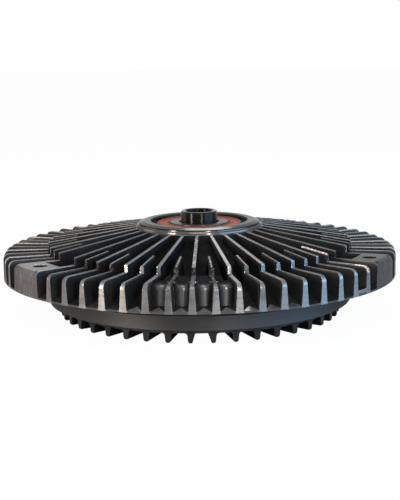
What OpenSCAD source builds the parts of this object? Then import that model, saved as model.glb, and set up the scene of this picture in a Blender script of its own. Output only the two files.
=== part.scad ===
// Viscous fan clutch. A finned aluminium housing and front cover turn on a ball bearing round the
// driven input shaft. A fluid rotor, a pump plate and a valve worked by a bimetal coil sit inside.
// The origin is on the axis, in the fan face (the plane of the three bolt pads), and +Z points
// to the drive stub. The clutch stands on the fins of its front cover.

/* [Housing] */
// Outside diameter over the fins and the bolt lugs
housing_d = 194; // [190:1:204]
// Diameter of the turned step that centres the fan
spigot_d = 150; // [146:0.5:153]
// Height of that step above the fan face
spigot_h = 3.4; // [2.5:0.1:4.5]
// Depth of the finned rim below the fan face
rim_depth = 12.8; // [12:0.1:15]
// Thickness of the rim floor at its outer edge
rim_floor_t = 0.8; // [0.6:0.1:2.5]
// Depth below the fan face of the valley floor at the step
valley_depth = 6.5; // [5.5:0.1:7.5]
// Height above the fan face of the valley floor at the hub
valley_hub_h = 6; // [4:0.1:7]
// Thickness of the casting under the valley floor at the step
rim_wall_t = 4; // [3:0.1:5]
// Outside diameter of the skirt that holds the cover
skirt_d = 150; // [148:0.5:156]

/* [Housing fins] */
// Fin places round the housing, bolt lugs included
fin_places = 60; // [48:6:66]
// Thickness of a full fin at the level of the hub land
fin_top_t = 1.3; // [0.8:0.1:1.6]
// Thickness of a fin at the fan face
fin_face_t = 1.8; // [1.6:0.1:2.2]
// Thickness of a fin at its foot
fin_foot_t = 3.7; // [2.8:0.1:4]
// Downward slope of the fin tops from the hub, in degrees
fin_slope = 9; // [7:0.5:9.5]
// Radius at which the short fins start
short_fin_r = 61; // [50:0.5:68]
// Height that the turning takes off the cast tops of the short fins
short_fin_skim = 0.1; // [0.05:0.05:0.3]
// Rounding of the outer top corner of the fins
fin_corner_r = 3; // [1.5:0.1:4]

/* [Bolt lugs] */
// Diameter of the circle through the three fan bolts
bolt_circle_d = 177; // [174:0.5:181]
// Tapping diameter of the fan bolt holes
bolt_hole_d = 6.8; // [5:0.1:8]
// Reach of a lug past the middle of its bolt, to its outer end
lug_reach = 8.4; // [7.5:0.1:10]
// Reach of a lug's pad past the middle of its bolt, towards the axis
pad_reach = 6; // [5:0.5:8]

/* [Cast boss and web] */
// Place of the cast boss between the fins, in degrees
boss_angle = -96; // [-108:6:-84]
// Lobes of the boss, one in each valley
boss_lobes = 4; // [2:1:6]
// Radius of a lobe
lobe_r = 4.2; // [3.6:0.1:4.6]
// Radius from the axis to the outside of the lobes
boss_r = 91; // [84:0.5:92]
// Depth of the boss top below the fan face
boss_depth = 0.6; // [0.6:0.1:3]
// Rounding of the top edge of a lobe
boss_round = 3; // [1.2:0.1:3.4]
// Place of the raised web at the rim, in degrees
web_angle = -45; // [-57:6:-39]
// Height of the web above the rim floor
web_h = 2; // [1:0.1:4]
// Thickness of the web, measured in from the rim
web_t = 2.5; // [1.5:0.1:4]

/* [Hub and bearing] */
// Height of the turned hub land above the fan face
hub_land_h = 13; // [12.6:0.1:14]
// Outside diameter of the hub land
hub_land_d = 55; // [53:0.5:56]
// Outside diameter of the turned hub ring
hub_ring_d = 62.4; // [61.6:0.2:65]
// Depth of the bearing face below the hub land
bearing_recess = 0.8; // [0.5:0.1:1.2]
// Outside diameter of the ball bearing
bearing_d = 47; // [46:0.5:48]
// Bore of the ball bearing
bearing_bore = 20; // [19:0.5:20.5]
// Width of the ball bearing
bearing_w = 14; // [13.6:0.1:14.5]
// Diameter of the bearing balls
ball_d = 7.94; // [7.5:0.02:8.1]
// Bearing balls
ball_count = 8; // [7:1:9]
// Outside diameter of the inner ring's shoulders
inner_ring_d = 28.8; // [28:0.1:29]
// Inside diameter of the outer ring's shoulders
outer_ring_bore = 38.2; // [38:0.1:39]
// Diameter of the seal seats in the outer ring
seal_seat_d = 42.8; // [42:0.1:43.4]
// Thickness of a bearing seal
seal_t = 1.5; // [1.2:0.1:1.6]
// Depth of a seal below the bearing face
seal_recess = 0.3; // [0.2:0.1:0.5]
// Bore of the bearing abutment in the housing
abutment_d = 38; // [37:0.5:40]

/* [Input shaft] */
// Diameter of the drive stub
stub_d = 18; // [17:0.1:18.4]
// Height of the drive stub above the fan face
stub_h = 17.6; // [16:0.1:24]
// Bore of the drive stub
stub_bore_d = 13.4; // [12:0.1:13.8]
// Depth of that bore to its full diameter
stub_bore_depth = 14; // [10:0.5:18]
// Chamfer round the end of the stub
stub_chamfer = 0.4; // [0.3:0.1:1]
// Depth of the groove between the stub and the bearing
stub_groove = 0.8; // [0.5:0.1:1.5]
// Diameter of the collar that carries the bearing's inner ring
collar_d = 25; // [24:0.5:27]
// Diameter of the seat that the rotor is pressed on
rotor_seat_d = 18; // [16:0.5:19]

/* [Fluid chamber] */
// Depth of the chamber roof below the fan face
roof_depth = 9.5; // [9:0.1:10.5]
// Inside diameter of the fluid chamber
chamber_d = 135; // [134:0.5:136]
// Height of the annular lands on the roof and the rotor
land_h = 4.7; // [3:0.1:5]
// Thickness of each land
land_t = 1.6; // [1.2:0.1:1.7]
// Radial pitch of the lands
land_pitch = 4; // [3.9:0.1:4.5]
// Lands on the roof
land_count = 5; // [3:1:5]
// Running gap at the land tips
land_gap = 0.4; // [0.3:0.1:0.8]
// Running gap between the rotor's edge and the chamber
rotor_edge_gap = 1.5; // [1:0.1:3]
// Thickness of the rotor web
rotor_web_t = 3.4; // [2.5:0.1:4]
// Diameter of the rotor hub
rotor_hub_d = 32; // [28:0.5:34]
// Diameter of the rotor's fluid holes
rotor_hole_d = 8; // [5:0.5:10]
// Fluid holes in the rotor
rotor_holes = 4; // [2:1:6]
// Radius of the circle that those holes lie on
rotor_hole_r = 31; // [28:0.5:34]
// Gap between the rotor and the pump plate
plate_gap = 1; // [0.8:0.1:1.5]
// Thickness of the pump plate
plate_t = 1.2; // [1:0.1:1.6]
// Diameter of the inlet holes that the valve arm covers
inlet_d = 7; // [5:0.5:8]
// Radius of the inlet holes from the axis
inlet_r = 42; // [36:0.5:46]
// Diameter of the pump outlet holes
outlet_d = 3; // [2:0.5:4]
// Radius of the pump outlet holes and the wipers
outlet_r = 61; // [60:0.5:62]

/* [Front cover] */
// Height of the oil reservoir behind the cover
reservoir_h = 3.4; // [3:0.1:5]
// Inside diameter of the reservoir
reservoir_d = 128.6; // [127:0.2:130]
// Thickness of the cover
cover_t = 4.4; // [4:0.1:6]
// Gap between the cover's rim and the chamber
plate_seat_gap = 0.3; // [0.2:0.1:0.5]
// Diameter of the cover's clamped flange
flange_d = 143; // [142:0.2:143.4]
// Thickness of that flange
flange_t = 3.05; // [2.8:0.05:3.6]
// Depth of the flange below the pump plate's seat
flange_drop = 1.3; // [1:0.1:1.8]
// Thickness of the lip rolled over the flange
lip_t = 0.8; // [0.6:0.1:1.5]
// Width of flange that the rolled lip covers
lip_overlap = 1.5; // [1:0.1:1.8]
// Thickness of the rubber ring under the flange
cover_ring_t = 1.8; // [1.6:0.1:2]
// Fins on the cover
cover_fins = 42; // [36:2:48]
// Turn of the cover fins on the axis, in degrees
cover_fin_turn = 0.79; // [0:0.01:4]
// Height of the cover fins
cover_fin_h = 4.8; // [4.2:0.1:8]
// Thickness of a cover fin at its rounded tip
cover_fin_tip_t = 2.2; // [1.6:0.1:2.4]
// Thickness of a cover fin above the fillet of its foot
cover_fin_foot_t = 2.8; // [2.5:0.1:2.9]
// Radius of that fillet
cover_fin_fillet = 1.2; // [0.8:0.1:1.2]
// Radius at which the cover fins start
cover_fin_inner_r = 36; // [35:0.5:40]
// Radius at which the cover fins end
cover_fin_outer_r = 69.5; // [66:0.5:69.5]
// Rounding of the ends of the cover fins
cover_fin_round = 1.2; // [0.6:0.1:2.4]
// Diameter of the well for the coil in the cover's middle
well_d = 60; // [52:1:64]
// Depth of that well
well_depth = 1.7; // [1.2:0.1:2]
// Rivets that hold the pump plate on the cover
rivet_count = 6; // [4:1:8]
// Radius of the circle that the rivets lie on
rivet_r = 55; // [53:0.5:57]
// Diameter of a rivet's shank
rivet_d = 3; // [2.5:0.1:3.6]

/* [Valve and coil] */
// Diameter of the valve shaft
valve_shaft_d = 7; // [6:0.1:8]
// Running clearance of the valve shaft in the cover, on the radius
valve_clearance = 0.05; // [0.03:0.01:0.09]
// Diameter of the boss that guides the valve shaft
valve_boss_d = 16; // [13:0.5:20]
// Thickness of the valve arm
arm_t = 0.8; // [0.6:0.1:1]
// Gap between the valve arm and the parts beside it
arm_gap = 0.4; // [0.3:0.1:0.6]
// Width of the valve arm over its pads
arm_pad_d = 11; // [9:0.5:12]
// Width of the valve arm along its length
arm_w = 8; // [6:0.5:9]
// Turn of the valve arm from the inlet holes, in degrees
arm_turn = 0; // [0:1:8]
// Section of the valve shaft's rubber ring
valve_ring_t = 1.4; // [1.2:0.1:1.6]
// Thickness of the bimetal strip
coil_t = 0.9; // [0.6:0.1:1.1]
// Height of the bimetal strip
coil_h = 4; // [3.5:0.1:4.2]
// Radius of the coil's first turn
coil_inner_r = 4.9; // [4.8:0.1:6]
// Distance between the coil's turns
coil_pitch = 2.1; // [1.9:0.1:2.4]
// Turns of the coil
coil_turns = 5; // [3:1:5]
// Distance of the coil from the floor of its well
coil_gap = 0.9; // [0.5:0.1:1]

/* [Fits] */
// Clearance of pressed and seated pieces, on the radius
seat_clearance = 0.02; // [0.01:0.01:0.05]
// Gap between bearing pieces that roll or rub
bearing_gap = 0.2; // [0.15:0.05:0.3]
// Gap beside the coil's ends in their slots
slot_gap = 0.2; // [0.1:0.05:0.4]

/* [Hidden] */
$fn = 96;

// Room by which a cutting or trimmed shape passes the face that it cuts
over = 1;
// The bolt lugs, at equal angles from +Y
lug_count = 3;
lug_angle = 90;
fin_pitch = 360 / fin_places;
places_per_lug = fin_places / lug_count;

housing_r = housing_d / 2;
spigot_r = spigot_d / 2;
hub_ring_r = hub_ring_d / 2;
bolt_circle_r = bolt_circle_d / 2;
lug_r = bolt_circle_r + lug_reach;
pad_inner_r = bolt_circle_r - pad_reach;
// The cast hub stands a little proud of the turned ring
hub_cast_skin = 0.4;
hub_cast_r = hub_ring_r + hub_cast_skin;
hub_groove_w = 0.6;
hub_groove_depth = 0.7;
// The hub's outer edge lies lower than the cone inside its groove
hub_rim_drop = 0.5;
hub_edge_drop = 2;
hub_cone_drop = 0.8;

// Levels from the drive side to the tips of the cover fins
bearing_top = hub_land_h - bearing_recess;
bearing_bottom = bearing_top - bearing_w;
bearing_mid = bearing_top - bearing_w / 2;
roof_z = -roof_depth;
rotor_top = roof_z - land_h - land_gap;
rotor_bottom = rotor_top - rotor_web_t;
plate_top = rotor_bottom - plate_gap;
plate_bottom = plate_top - plate_t;
reservoir_floor = plate_bottom - reservoir_h;
cover_face = reservoir_floor - cover_t;
cover_fin_tip = cover_face - cover_fin_h;
flange_top = plate_bottom - flange_drop;
flange_bottom = flange_top - flange_t;
skirt_bottom = flange_bottom - seat_clearance - lip_t;
well_floor = cover_face + well_depth;
valve_boss_top = plate_bottom - 2 * arm_gap - arm_t;
coil_top = well_floor - coil_gap;
coil_bottom = coil_top - coil_h;

// The cover's turned shapes start in the middle of a gap between its fins
cover_fin_pitch = 360 / cover_fins;
cover_first_gap = cover_fin_turn - 90 + cover_fin_pitch / 2;
chamber_r = chamber_d / 2;
flange_r = flange_d / 2;
skirt_r = skirt_d / 2;
lip_r = flange_r - lip_overlap;
rotor_r = chamber_r - rotor_edge_gap;
first_land_r = rotor_r - land_t - land_pitch * land_count;
bearing_r = bearing_d / 2;
ball_circle_r = (bearing_d + bearing_bore) / 4;
ball_r = ball_d / 2;
// The ribbon cage and its rivets
cage_sheet_t = 0.7;
cage_half_w = 1.4;
cage_rivet_r = 0.5;
cage_head_r = 0.9;
cage_head_t = 0.4;
// The rubber ring's place under the lip, and the room beside it in its groove
cover_ring_inset = 0.4;
cover_ring_r = lip_r - cover_ring_inset;
groove_room = 0.2;
// Place of the pump's wipers and outlets round the plate, in degrees
wiper_angle = 75;
valve_shaft_r = valve_shaft_d / 2;
// The shaft's end that the valve arm is pressed on
arm_seat_r = valve_shaft_r - 1;
arm_z = valve_boss_top + arm_gap;
valve_ring_z = (valve_boss_top + well_floor) / 2;
coil_outer_r = coil_inner_r + coil_pitch * coil_turns;
// The coil's outer end reaches into a slotted post cast on the cover
post_inner_r = coil_outer_r + coil_pitch;
post_depth = 4;
post_w = 7;
coil_tail_setback = 0.8;
coil_tail_r = post_inner_r + post_depth - coil_tail_setback;
coil_slot = coil_t + 2 * slot_gap;

function fin_top_z(r) = spigot_h + (spigot_r - r) * tan(fin_slope);
// The outline of a wall with an arched top that stands a little above zero
function arched(top_t, foot_t, depth) = concat(
    [[-foot_t / 2, -depth], [foot_t / 2, -depth]],
    arc(0, short_fin_skim - top_t / 2, top_t / 2, 0, 180, 4)
);
function fin_t(depth) = fin_face_t + (fin_foot_t - fin_face_t) * depth / (rim_depth + over);
function rim_under_z(r) =
    -rim_depth + (housing_r - r) * (rim_depth - valley_depth - rim_wall_t) / (housing_r - skirt_r);
function arc(centre_r, centre_z, radius, from, to, steps = 6) = [
    for (i = [0 : steps])
        let (a = from + (to - from) * i / steps)
        [centre_r + radius * cos(a), centre_z + radius * sin(a)]
];

// A cylinder between two levels
module cylinder_from(low, high, radius) {
    translate([0, 0, low]) cylinder(h = high - low, r = radius);
}

// A ring of rectangular section
module ring(inner_r, outer_r, low, high) {
    rotate_extrude() translate([inner_r, low]) square([outer_r - inner_r, high - low]);
}

// A ring of round section
module round_ring(circle_r, section_r, z) {
    rotate_extrude() translate([circle_r, z]) circle(section_r, $fn = 32);
}

// A turned shape of the housing, whose start line lies in the middle of a valley
module turned() {
    rotate(fin_pitch / 2) rotate_extrude() children();
}

// A sector of a turned section, centred on an angle
module sector(angle, half_arc) {
    rotate(angle - half_arc) rotate_extrude(angle = 2 * half_arc) children();
}

// A wall of the given section along +X
module radial_wall(from_r, to_r, section) {
    rotate([90, 0, 90]) translate([0, 0, from_r]) linear_extrude(to_r - from_r) polygon(section);
}

// The turned outside of the housing: hub ring, sloping fin tops, fan step, rim and skirt
module housing_turning() {
    hub_edge_z = hub_land_h - hub_edge_drop;
    groove_r = hub_ring_r - 2 * hub_groove_w;
    groove_top = hub_land_h - hub_cone_drop;
    groove_floor = groove_top - hub_groove_depth;
    turned() polygon(concat(
        [
            [0, hub_land_h], [hub_land_d / 2, hub_land_h], [groove_r, groove_top], [groove_r, groove_floor],
            [groove_r + hub_groove_w, groove_floor], [groove_r + hub_groove_w, groove_top - hub_rim_drop],
            [hub_ring_r, hub_edge_z],
            [hub_ring_r, fin_top_z(hub_ring_r)], [spigot_r, spigot_h], [spigot_r, 0],
        ],
        arc(housing_r - fin_corner_r, -fin_corner_r, fin_corner_r, 90, 0),
        [
            [housing_r, rim_under_z(housing_r)], [skirt_r, rim_under_z(skirt_r)],
            [skirt_r, skirt_bottom], [0, skirt_bottom],
        ]
    ));
}

// The cast hub, valley floors and skirt, before the fins are added and the outside is turned
module housing_core() {
    rim_floor_z = rim_floor_t - rim_depth;
    slope = (rim_floor_z + valley_depth) / (housing_r - spigot_r);
    outside = housing_r + over;
    turned() polygon([
        [0, hub_land_h + over], [hub_cast_r, hub_land_h + over], [hub_cast_r, valley_hub_h],
        [spigot_r, -valley_depth], [outside, rim_floor_z + over * slope],
        [outside, skirt_bottom - over], [0, skirt_bottom - over],
    ]);
}

// A full fin, from the hub to the rim, whose draft is greater below the fan face
module full_fin() {
    foot_z = -rim_depth - over;
    radial_wall(hub_ring_r - 2 * over, housing_r + over, [
        [-fin_foot_t / 2, foot_z], [fin_foot_t / 2, foot_z], [fin_face_t / 2, 0],
        [fin_top_t / 2, hub_land_h], [-fin_top_t / 2, hub_land_h], [-fin_face_t / 2, 0],
    ]);
}

// A short fin: an arched wall along the rim, and one up the slope inside the fan step
module short_fin() {
    rim_h = rim_depth + over;
    slope_h = spigot_h + valley_depth + over;
    slope_l = (spigot_r - short_fin_r) / cos(fin_slope);
    radial_wall(spigot_r - over, housing_r + over, arched(fin_face_t, fin_t(rim_h), rim_h));
    translate([spigot_r, 0, spigot_h]) rotate([0, fin_slope, 0])
        radial_wall(-slope_l, over, arched(fin_face_t, fin_t(slope_h), slope_h));
}

// Full and short fins by turns, with a bolt lug at every last place
module housing_fins() {
    for (i = [0 : fin_places - 1]) {
        place = i % places_per_lug;
        rotate(lug_angle + i * fin_pitch) {
            if (place % 2 == 1)
                full_fin();
            else if (place != 0)
                short_fin();
        }
    }
}

// The bolt lugs, each from the fin before it to the fin after it, with a turned pad and end
module bolt_lugs() {
    sunk = rim_floor_t / 2;
    for (i = [0 : lug_count - 1])
        sector(lug_angle + i * 360 / lug_count, fin_pitch)
            polygon(concat(
                [[pad_inner_r, rim_under_z(pad_inner_r) + sunk], [pad_inner_r, 0]],
                arc(lug_r - fin_corner_r, -fin_corner_r, fin_corner_r, 90, 0),
                [[lug_r, rim_under_z(lug_r) + sunk]]
            ));
}

// A cast boss behind the fins, which swells out into a round lobe in each valley
module cast_boss() {
    lobe_h = rim_depth - boss_depth;
    middle_r = boss_r - lobe_r;
    last = (boss_lobes - 1) / 2;
    sector(boss_angle, last * fin_pitch)
        translate([spigot_r - over, -rim_depth])
            square([middle_r - spigot_r + over, lobe_h]);
    for (i = [-last : last])
        rotate(boss_angle + i * fin_pitch) translate([middle_r, 0, -rim_depth])
            rotate_extrude() polygon(concat(
                [[0, 0], [lobe_r, 0]],
                arc(lobe_r - boss_round, lobe_h - boss_round, boss_round, 0, 90),
                [[0, lobe_h]]
            ));
}

module rim_web() {
    web_w = 2 * housing_r * sin(fin_pitch / 2);
    low = -rim_depth - 2 * over;
    rotate(web_angle) translate([housing_r - web_t, -web_w / 2, low])
        cube([web_t + 2 * over, web_w, rim_floor_t + web_h + 2 * over]);
}

// The bearing seat, the chamber with its annular lands, and the seat of the cover
module housing_cavity() {
    seat_r = bearing_r + seat_clearance;
    flange_seat_r = flange_r + seat_clearance;
    mouth = 0.5;
    turned() polygon(concat(
        [
            [0, hub_land_h + over], [seat_r + mouth, hub_land_h + over], [seat_r + mouth, hub_land_h],
            [seat_r, hub_land_h - mouth], [seat_r, bearing_bottom],
            [abutment_d / 2, bearing_bottom], [abutment_d / 2, roof_z],
        ],
        [
            for (i = [0 : land_count - 1])
                let (r = first_land_r + i * land_pitch)
                each [[r, roof_z], [r, roof_z - land_h], [r + land_t, roof_z - land_h], [r + land_t, roof_z]]
        ],
        [
            [chamber_r, roof_z], [chamber_r, flange_top], [flange_seat_r, flange_top],
            [flange_seat_r, flange_bottom - seat_clearance], [lip_r, flange_bottom - seat_clearance],
            [lip_r, skirt_bottom - over], [0, skirt_bottom - over],
        ]
    ));
}

module bolt_holes() {
    for (i = [0 : lug_count - 1])
        rotate(lug_angle + i * 360 / lug_count)
            translate([bolt_circle_r, 0, -rim_depth - over])
                cylinder(h = rim_depth + 2 * over, d = bolt_hole_d);
}

module housing() {
    color("#4b4c4e")
    difference() {
        union() {
            intersection() {
                housing_turning();
                union() {
                    housing_core();
                    housing_fins();
                    cast_boss();
                    rim_web();
                }
            }
            bolt_lugs();
        }
        housing_cavity();
        bolt_holes();
    }
}

// The front cover: a flanged disc with a central guide for the valve shaft and a well for the coil
module cover_turning() {
    shoulder_r = lip_r - seat_clearance;
    plate_seat_r = chamber_r - plate_seat_gap;
    edge = 0.8;
    rotate(cover_first_gap) rotate_extrude() polygon([
        [0, valve_boss_top], [valve_boss_d / 2, valve_boss_top], [valve_boss_d / 2, reservoir_floor],
        [reservoir_d / 2, reservoir_floor], [reservoir_d / 2, plate_bottom],
        [plate_seat_r, plate_bottom], [plate_seat_r, flange_top], [flange_r, flange_top],
        [flange_r, flange_bottom], [shoulder_r, flange_bottom], [shoulder_r, cover_face + edge],
        [shoulder_r - edge, cover_face], [well_d / 2 + well_depth, cover_face],
        [well_d / 2, well_floor], [0, well_floor],
    ]);
}

// The cover's fins: each has a rounded tip and a foot that flares into the cover's face
module cover_fin_ring() {
    foot_z = cover_face + over;
    corner_z = cover_fin_tip + cover_fin_round;
    tip_r = cover_fin_tip_t / 2;
    flare_y = cover_fin_foot_t / 2 + cover_fin_fillet;
    sunk = 0.05;
    flare_z = cover_face - cover_fin_fillet + sunk;
    section = concat(
        [[-flare_y, foot_z]],
        arc(-flare_y, flare_z, cover_fin_fillet, 90, 0, 3),
        arc(0, cover_fin_tip + tip_r, tip_r, 180, 360, 4),
        arc(flare_y, flare_z, cover_fin_fillet, 180, 90, 3),
        [[flare_y, foot_z]]
    );
    intersection() {
        rotate(cover_first_gap) rotate_extrude() polygon(concat(
            [[cover_fin_inner_r, foot_z]],
            arc(cover_fin_inner_r + cover_fin_round, corner_z, cover_fin_round, 180, 270),
            arc(cover_fin_outer_r - cover_fin_round, corner_z, cover_fin_round, 270, 360),
            [[cover_fin_outer_r, foot_z]]
        ));
        for (i = [0 : cover_fins - 1])
            rotate(cover_first_gap + (i + 0.5) * cover_fin_pitch)
                radial_wall(cover_fin_inner_r - over, cover_fin_outer_r + over, section);
    }
}

module rivet_places() {
    for (i = [0 : rivet_count - 1])
        rotate((i + 0.5) * 360 / rivet_count) translate([rivet_r, 0, 0]) children();
}

// The cast post whose slot holds the outer end of the coil
module coil_post() {
    difference() {
        translate([post_inner_r, -post_w / 2, coil_bottom])
            cube([post_depth, post_w, well_floor + over - coil_bottom]);
        translate([post_inner_r - over, -coil_slot / 2, coil_bottom - over])
            cube([post_depth + 2 * over, coil_slot, coil_h + 2 * over]);
    }
}

module front_cover() {
    groove_half = cover_ring_t / 2 + groove_room;
    rivet_boss_wall = 2;
    rivet_boss_r = rivet_d / 2 + rivet_boss_wall;
    color("#303134")
    difference() {
        union() {
            cover_turning();
            cover_fin_ring();
            coil_post();
            rivet_places()
                translate([0, 0, reservoir_floor - over])
                    cylinder(h = plate_bottom - reservoir_floor + over, r = rivet_boss_r);
        }
        ring(
            cover_ring_r - groove_half, cover_ring_r + groove_half,
            flange_top - cover_ring_t, flange_top + over
        );
        translate([0, 0, well_floor - over])
            cylinder(h = valve_boss_top - well_floor + 2 * over, r = valve_shaft_r + valve_clearance);
        rivet_places()
            translate([0, 0, reservoir_floor - over])
                cylinder(h = plate_top - reservoir_floor + 2 * over, r = rivet_d / 2 + seat_clearance);
    }
}

module cover_seal() {
    color("#161616")
    round_ring(cover_ring_r, cover_ring_t / 2 - seat_clearance, flange_top - cover_ring_t / 2);
}

module wiper_places() {
    for (side = [0, 180])
        rotate(side + wiper_angle) translate([outlet_r, 0, 0]) children();
}

module pump_plate() {
    head_r = rivet_d / 2 + plate_t;
    color("#a8a9a6")
    difference() {
        translate([0, 0, plate_bottom]) cylinder(h = plate_t, r = chamber_r - rotor_edge_gap / 2);
        for (side = [0, 180])
            rotate(side) translate([inlet_r, 0, plate_bottom - over])
                cylinder(h = plate_t + 2 * over, d = inlet_d);
        wiper_places()
            translate([0, -outlet_d, plate_bottom - over]) cylinder(h = plate_t + 2 * over, d = outlet_d);
        rivet_places() {
            translate([0, 0, plate_bottom - over])
                cylinder(h = plate_t + 2 * over, r = rivet_d / 2 + seat_clearance);
            translate([0, 0, plate_bottom])
                cylinder(h = plate_t, r1 = rivet_d / 2 + seat_clearance, r2 = head_r + seat_clearance);
        }
    }
}

module plate_rivets() {
    head_r = rivet_d / 2 + plate_t;
    color("#b9b7b0")
    rivet_places() {
        translate([0, 0, reservoir_floor - over + seat_clearance])
            cylinder(h = plate_top - reservoir_floor + over - seat_clearance, d = rivet_d);
        translate([0, 0, plate_bottom]) cylinder(h = plate_t, d1 = rivet_d, r2 = head_r);
    }
}

// Small dams on the pump plate that push the fluid into the outlet holes
module pump_wipers() {
    wiper_h = plate_gap - land_gap;
    wiper_l = 7;
    wiper_w = 3;
    color("#c9c2a8")
    wiper_places()
        translate([-wiper_l / 2, 0, plate_top]) cube([wiper_l, wiper_w, wiper_h]);
}

module input_shaft() {
    stub_r = stub_d / 2;
    bore_r = stub_bore_d / 2;
    seat_r = bearing_bore / 2 - seat_clearance;
    rotor_seat_r = rotor_seat_d / 2 - seat_clearance;
    bore_bottom = stub_h - stub_bore_depth;
    drill_point_angle = 31;
    drill_point = bore_r * tan(drill_point_angle);
    groove_z = bearing_top - stub_groove;
    lead = 0.4;
    color("#6d6a69")
    rotate_extrude() polygon([
        [0, bore_bottom - drill_point], [bore_r, bore_bottom], [bore_r, stub_h - stub_chamfer],
        [bore_r + stub_chamfer, stub_h], [stub_r - stub_chamfer, stub_h], [stub_r, stub_h - stub_chamfer],
        [stub_r, groove_z], [seat_r - lead, groove_z], [seat_r, groove_z - lead], [seat_r, bearing_bottom],
        [collar_d / 2, bearing_bottom], [collar_d / 2, roof_z], [rotor_seat_r, roof_z],
        [rotor_seat_r, rotor_bottom + lead], [rotor_seat_r - lead, rotor_bottom], [0, rotor_bottom],
    ]);
}

// The rotor: a disc on a pressed hub, with annular lands that run between those of the roof
module rotor_disc() {
    bore_r = rotor_seat_d / 2;
    hub_r = rotor_hub_d / 2;
    side_gap = land_pitch / 2 - land_t;
    first_r = first_land_r - land_pitch + land_t + side_gap;
    color("#9d9e9d")
    difference() {
        rotate_extrude() polygon(concat(
            [[bore_r, rotor_bottom], [bore_r, roof_z], [hub_r, roof_z], [hub_r, rotor_top]],
            [
                for (i = [0 : land_count])
                    let (r = first_r + i * land_pitch)
                    each [
                        [r, rotor_top], [r, rotor_top + land_h],
                        [r + land_t, rotor_top + land_h], [r + land_t, rotor_top],
                    ]
            ],
            [[rotor_r, rotor_top], [rotor_r, rotor_bottom]]
        ));
        for (i = [0 : rotor_holes - 1])
            rotate((i + 0.5) * 360 / rotor_holes) translate([rotor_hole_r, 0, rotor_bottom - over])
                cylinder(h = rotor_web_t + 2 * over, d = rotor_hole_d);
    }
}

// The grooves that the balls roll in
module ball_track() {
    round_ring(ball_circle_r, ball_r + bearing_gap, bearing_mid);
}

module bearing_outer_ring() {
    seat_depth = seal_recess + seal_t;
    color("#c4c4c2")
    difference() {
        ring(outer_ring_bore / 2, bearing_r, bearing_bottom, bearing_top);
        ring(0, seal_seat_d / 2, bearing_top - seat_depth, bearing_top + over);
        ring(0, seal_seat_d / 2, bearing_bottom - over, bearing_bottom + seat_depth);
        ball_track();
    }
}

module bearing_inner_ring() {
    color("#bdbdba")
    difference() {
        ring(bearing_bore / 2, inner_ring_d / 2, bearing_bottom, bearing_top);
        ball_track();
    }
}

module ball_places() {
    for (i = [0 : ball_count - 1])
        rotate(i * 360 / ball_count) translate([ball_circle_r, 0, 0]) children();
}

module bearing_balls() {
    color("#dadada")
    translate([0, 0, bearing_mid]) ball_places() sphere(ball_r, $fn = 48);
}

module cage_rivet_places() {
    rotate(180 / ball_count) ball_places() children();
}

// Half of the pressed ribbon cage, on the side where the local z is positive
module cage_half() {
    pocket_r = ball_r + bearing_gap;
    top_z = pocket_r + cage_sheet_t;
    difference() {
        intersection() {
            ring(ball_circle_r - cage_half_w, ball_circle_r + cage_half_w, 0, top_z);
            union() {
                ring(ball_circle_r - 2 * cage_half_w, ball_circle_r + 2 * cage_half_w, -over, cage_sheet_t);
                ball_places() sphere(top_z, $fn = 48);
            }
        }
        ball_places() sphere(pocket_r, $fn = 48);
        cage_rivet_places()
            translate([0, 0, -over])
                cylinder(h = cage_sheet_t + 2 * over, r = cage_rivet_r + seat_clearance, $fn = 24);
    }
}

module cage_rear_half() {
    color("#b5a47c")
    translate([0, 0, bearing_mid]) cage_half();
}

module cage_front_half() {
    color("#b5a47c")
    translate([0, 0, bearing_mid]) mirror([0, 0, 1]) cage_half();
}

module cage_rivets() {
    end_z = cage_sheet_t + cage_head_t;
    color("#cfcfcf")
    translate([0, 0, bearing_mid]) cage_rivet_places() {
        translate([0, 0, -end_z]) cylinder(h = 2 * end_z, r = cage_rivet_r, $fn = 24);
        for (z = [-end_z, cage_sheet_t])
            translate([0, 0, z]) cylinder(h = cage_head_t, r = cage_head_r, $fn = 24);
    }
}

// A bearing seal: a rubber-faced washer with a raised lip bead, on the side of positive local z
module bearing_seal() {
    inner_r = inner_ring_d / 2 + bearing_gap;
    outer_r = seal_seat_d / 2 - seat_clearance;
    dish = 0.4;
    rotate_extrude() polygon([
        [inner_r, 0], [outer_r, 0], [outer_r, seal_t - dish], [outer_r - dish, seal_t],
        [outer_r - 3 * dish, seal_t], [outer_r - 4 * dish, seal_t - dish],
        [inner_r + 4 * dish, seal_t - dish], [inner_r + 3 * dish, seal_t], [inner_r, seal_t],
    ]);
}

module rear_bearing_seal() {
    color("#8a3f31")
    translate([0, 0, bearing_top - seal_recess - seal_t]) bearing_seal();
}

module front_bearing_seal() {
    color("#8a3f31")
    translate([0, 0, bearing_bottom + seal_recess + seal_t]) mirror([0, 0, 1]) bearing_seal();
}

// The valve arm: a flat strip with a round pad over each inlet hole
module valve_arm() {
    color("#8f8f8a")
    translate([0, 0, arm_z]) rotate(arm_turn)
    difference() {
        union() {
            translate([-inlet_r, -arm_w / 2, 0]) cube([2 * inlet_r, arm_w, arm_t]);
            for (x = [-inlet_r, 0, inlet_r])
                translate([x, 0, 0]) cylinder(h = arm_t, d = arm_pad_d);
        }
        translate([0, 0, -over]) cylinder(h = arm_t + 2 * over, r = arm_seat_r + seat_clearance);
    }
}

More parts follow.
